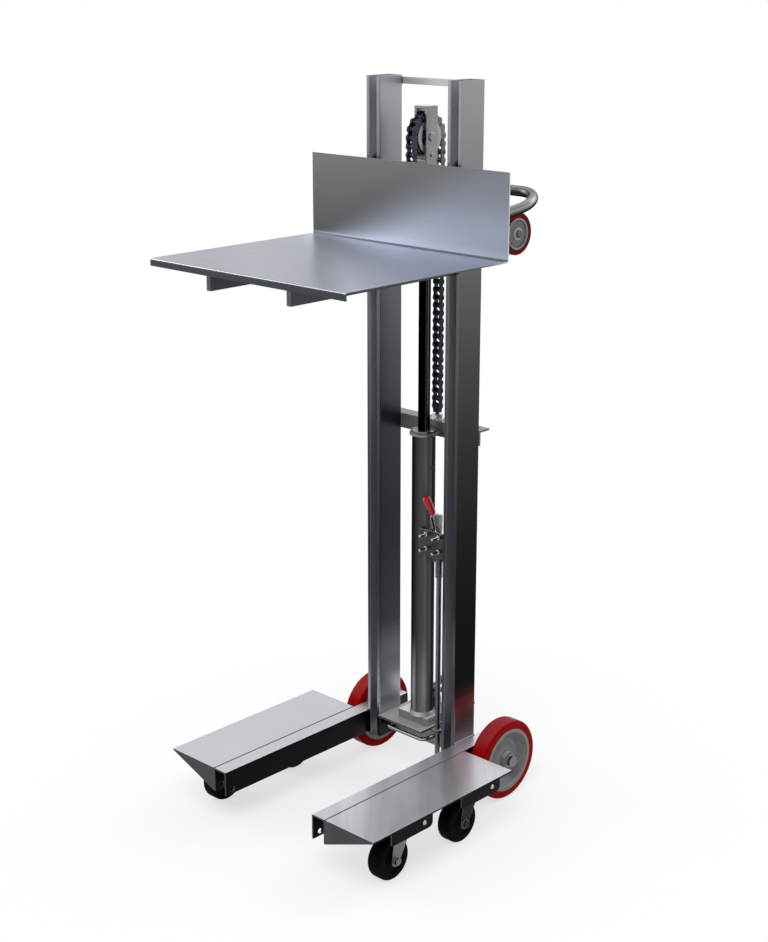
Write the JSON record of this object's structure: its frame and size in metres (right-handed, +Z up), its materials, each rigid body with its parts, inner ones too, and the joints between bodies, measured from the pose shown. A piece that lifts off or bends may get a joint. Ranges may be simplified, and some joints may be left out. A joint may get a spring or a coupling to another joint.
{
  "type": "foot pump lift truck",
  "caption": "Stainless foot pump lift truck: a platform raised by a ram and chain on a twin column mast over straddling legs on casters.",
  "frame": {"origin": "floor, under the middle of the overall bounding box", "axes": "+X to the right seen from the platform side, -Y towards the platform and leg tips, +Y towards the operator, +Z up"},
  "size_m": [0.6894, 0.7936, 1.7547],
  "materials": {
    "stainless": "brushed, satin",
    "deck_sheet": "brushed sheet",
    "handle_tube": "polished tube",
    "zinc": "bright zinc",
    "lock_steel": "dull zinc",
    "cylinder_grey": "satin dark grey",
    "rod_chrome": "hard chrome",
    "chain_steel": "oiled dark steel",
    "roller_steel": "machined",
    "caster_rubber": "black moulded",
    "red_tread": "red moulded tread",
    "hub_grey": "satin grey",
    "grip_red": "red dipped grip"
  },
  "bodies": {
    "frame": {"mast_column_left": "stainless", "mast_column_right": "stainless", "top_crossbar": "stainless", "mid_crossbar": "stainless", "base_crossmember": "stainless", "base_plate": "stainless", "guard_bar": "stainless", "leg_channel_left": "stainless", "leg_channel_right": "stainless", "wing_plate_left": "stainless", "wing_plate_right": "stainless", "caster_top_plates": "zinc", "rear_axle": "zinc", "axle_nuts": "zinc", "push_handle": "handle_tube", "load_wheel_bracket_left": "stainless", "load_wheel_bracket_right": "stainless", "pump_block": "cylinder_grey", "cylinder_tube": "cylinder_grey", "guide_plate": "stainless", "gland_nut": "cylinder_grey", "chain_anchor": "zinc", "lock_bracket": "stainless", "lock_base": "lock_steel", "frame_bolts": "zinc", "chain_rear_strand": "chain_steel"},
    "ram": {"piston_rod": "rod_chrome", "yoke": "stainless", "chain_over_wheel": "chain_steel", "chain_front_strand": "chain_steel"},
    "chain_wheel": {"chain_wheel": "roller_steel"},
    "carriage": {"platform": "deck_sheet", "platform_arm_left": "stainless", "platform_arm_right": "stainless", "chain_bracket": "stainless"},
    "roller_upper_left": {"mast_rollers_upper_left": "roller_steel"},
    "roller_upper_right": {"mast_rollers_upper_right": "roller_steel"},
    "roller_lower_left": {"mast_rollers_lower_left": "roller_steel"},
    "roller_lower_right": {"mast_rollers_lower_right": "roller_steel"},
    "rear_wheel_left": {"rear_tyre_left": "red_tread", "rear_hub_left": "hub_grey"},
    "rear_wheel_right": {"rear_tyre_right": "red_tread", "rear_hub_right": "hub_grey"},
    "load_wheel_left": {"load_wheel_left": "red_tread"},
    "load_wheel_right": {"load_wheel_right": "red_tread"},
    "lock_lever": {"lock_lever": "zinc", "lock_grip": "grip_red"},
    "lock_rod": {"lock_rod": "lock_steel"},
    "pump_pedal": {"pump_pedal": "stainless"},
    "pump_plunger": {"pump_plunger": "rod_chrome"},
    "release_lever": {"release_lever": "stainless"},
    "caster_front_left": {"caster_fork_front_left": "zinc"},
    "caster_front_left_wheel": {"caster_wheel_front_left": "caster_rubber"},
    "caster_rear_left": {"caster_fork_rear_left": "zinc"},
    "caster_rear_left_wheel": {"caster_wheel_rear_left": "caster_rubber"},
    "caster_front_right": {"caster_fork_front_right": "zinc"},
    "caster_front_right_wheel": {"caster_wheel_front_right": "caster_rubber"},
    "caster_rear_right": {"caster_fork_rear_right": "zinc"},
    "caster_rear_right_wheel": {"caster_wheel_rear_right": "caster_rubber"}
  },
  "joints": [
    {"name": "ram_lift", "type": "slide", "parent": "frame", "child": "ram", "axis": [0, 0, 1], "range_m": [-0.608, 0], "deforming": ["chain_rear_strand"]},
    {"name": "carriage_lift", "type": "slide", "parent": "ram", "child": "carriage", "axis": [0, 0, 1], "range_m": [-0.6085, 0], "deforming": ["chain_front_strand"]},
    {"name": "chain_wheel_spin", "type": "hinge", "parent": "ram", "child": "chain_wheel", "pos_m": [0, 0.1785, 1.6213], "axis": [1, 0, 0], "range_deg": [0, 720]},
    {"name": "roller_upper_left_spin", "type": "hinge", "parent": "carriage", "child": "roller_upper_left", "pos_m": [-0.12565, 0.172, 1.5446], "axis": [1, 0, 0], "range_deg": [-2060, 0]},
    {"name": "roller_lower_left_spin", "type": "hinge", "parent": "carriage", "child": "roller_lower_left", "pos_m": [-0.12565, 0.172, 1.3566], "axis": [1, 0, 0], "range_deg": [0, 2060]},
    {"name": "rear_wheel_left_spin", "type": "hinge", "parent": "frame", "child": "rear_wheel_left", "pos_m": [-0.215, 0.2386, 0.1016], "axis": [1, 0, 0], "continuous": true},
    {"name": "load_wheel_left_spin", "type": "hinge", "parent": "frame", "child": "load_wheel_left", "pos_m": [-0.1285, 0.346, 1.3933], "axis": [1, 0, 0], "continuous": true},
    {"name": "caster_front_left_swivel", "type": "hinge", "parent": "frame", "child": "caster_front_left", "pos_m": [-0.283, -0.2295, 0.12], "axis": [0, 0, 1], "continuous": true},
    {"name": "caster_front_left_wheel_spin", "type": "hinge", "parent": "caster_front_left", "child": "caster_front_left_wheel", "pos_m": [-0.283, -0.2495, 0.051], "axis": [1, 0, 0], "continuous": true},
    {"name": "caster_rear_left_swivel", "type": "hinge", "parent": "frame", "child": "caster_rear_left", "pos_m": [-0.283, 0.0094, 0.12], "axis": [0, 0, 1], "continuous": true},
    {"name": "caster_rear_left_wheel_spin", "type": "hinge", "parent": "caster_rear_left", "child": "caster_rear_left_wheel", "pos_m": [-0.283, -0.0106, 0.051], "axis": [1, 0, 0], "continuous": true},
    {"name": "roller_upper_right_spin", "type": "hinge", "parent": "carriage", "child": "roller_upper_right", "pos_m": [0.12565, 0.172, 1.5446], "axis": [1, 0, 0], "range_deg": [-2060, 0]},
    {"name": "roller_lower_right_spin", "type": "hinge", "parent": "carriage", "child": "roller_lower_right", "pos_m": [0.12565, 0.172, 1.3566], "axis": [1, 0, 0], "range_deg": [0, 2060]},
    {"name": "rear_wheel_right_spin", "type": "hinge", "parent": "frame", "child": "rear_wheel_right", "pos_m": [0.215, 0.2386, 0.1016], "axis": [1, 0, 0], "continuous": true},
    {"name": "load_wheel_right_spin", "type": "hinge", "parent": "frame", "child": "load_wheel_right", "pos_m": [0.1285, 0.346, 1.3933], "axis": [1, 0, 0], "continuous": true},
    {"name": "caster_front_right_swivel", "type": "hinge", "parent": "frame", "child": "caster_front_right", "pos_m": [0.283, -0.2295, 0.12], "axis": [0, 0, 1], "continuous": true},
    {"name": "caster_front_right_wheel_spin", "type": "hinge", "parent": "caster_front_right", "child": "caster_front_right_wheel", "pos_m": [0.283, -0.2495, 0.051], "axis": [1, 0, 0], "continuous": true},
    {"name": "caster_rear_right_swivel", "type": "hinge", "parent": "frame", "child": "caster_rear_right", "pos_m": [0.283, 0.0094, 0.12], "axis": [0, 0, 1], "continuous": true},
    {"name": "caster_rear_right_wheel_spin", "type": "hinge", "parent": "caster_rear_right", "child": "caster_rear_right_wheel", "pos_m": [0.283, -0.0106, 0.051], "axis": [1, 0, 0], "continuous": true},
    {"name": "lock_lever_turn", "type": "hinge", "parent": "frame", "child": "lock_lever", "pos_m": [0.058, 0.15948, 0.69], "axis": [1, 0, 0], "range_deg": [-60, 0]},
    {"name": "lock_rod_slide", "type": "slide", "parent": "frame", "child": "lock_rod", "axis": [0, 0, 1], "range_m": [-0.0141, 0]},
    {"name": "pedal_press", "type": "hinge", "parent": "frame", "child": "pump_pedal", "pos_m": [-0.0115, 0.22, 0.205], "axis": [1, 0, 0], "range_deg": [-20, 0], "stiffness_Nm_per_rad": 3, "springref_deg": 8.59},
    {"name": "plunger_slide", "type": "slide", "parent": "frame", "child": "pump_plunger", "axis": [0, 0, 1], "range_m": [-0.0083, 0]},
    {"name": "release_press", "type": "hinge", "parent": "frame", "child": "release_lever", "pos_m": [0.037, 0.242, 0.1653], "axis": [1, 0, 0], "range_deg": [-12, 0], "stiffness_Nm_per_rad": 1.5, "springref_deg": 5.73}
  ],
  "couplings": [
    {"joint": "carriage_lift", "follows": "ram_lift", "ratio": 1},
    {"joint": "chain_wheel_spin", "follows": "ram_lift", "rad_per_m": -20.482},
    {"joint": "lock_rod_slide", "follows": "lock_lever_turn", "m_per_rad": 0.013369},
    {"joint": "plunger_slide", "follows": "pedal_press", "m_per_rad": 0.0235},
    {"joint": "roller_upper_left_spin", "follows": "ram_lift", "rad_per_m": 58.651},
    {"joint": "roller_lower_left_spin", "follows": "ram_lift", "rad_per_m": -58.651},
    {"joint": "roller_upper_right_spin", "follows": "ram_lift", "rad_per_m": 58.651},
    {"joint": "roller_lower_right_spin", "follows": "ram_lift", "rad_per_m": -58.651}
  ]
}
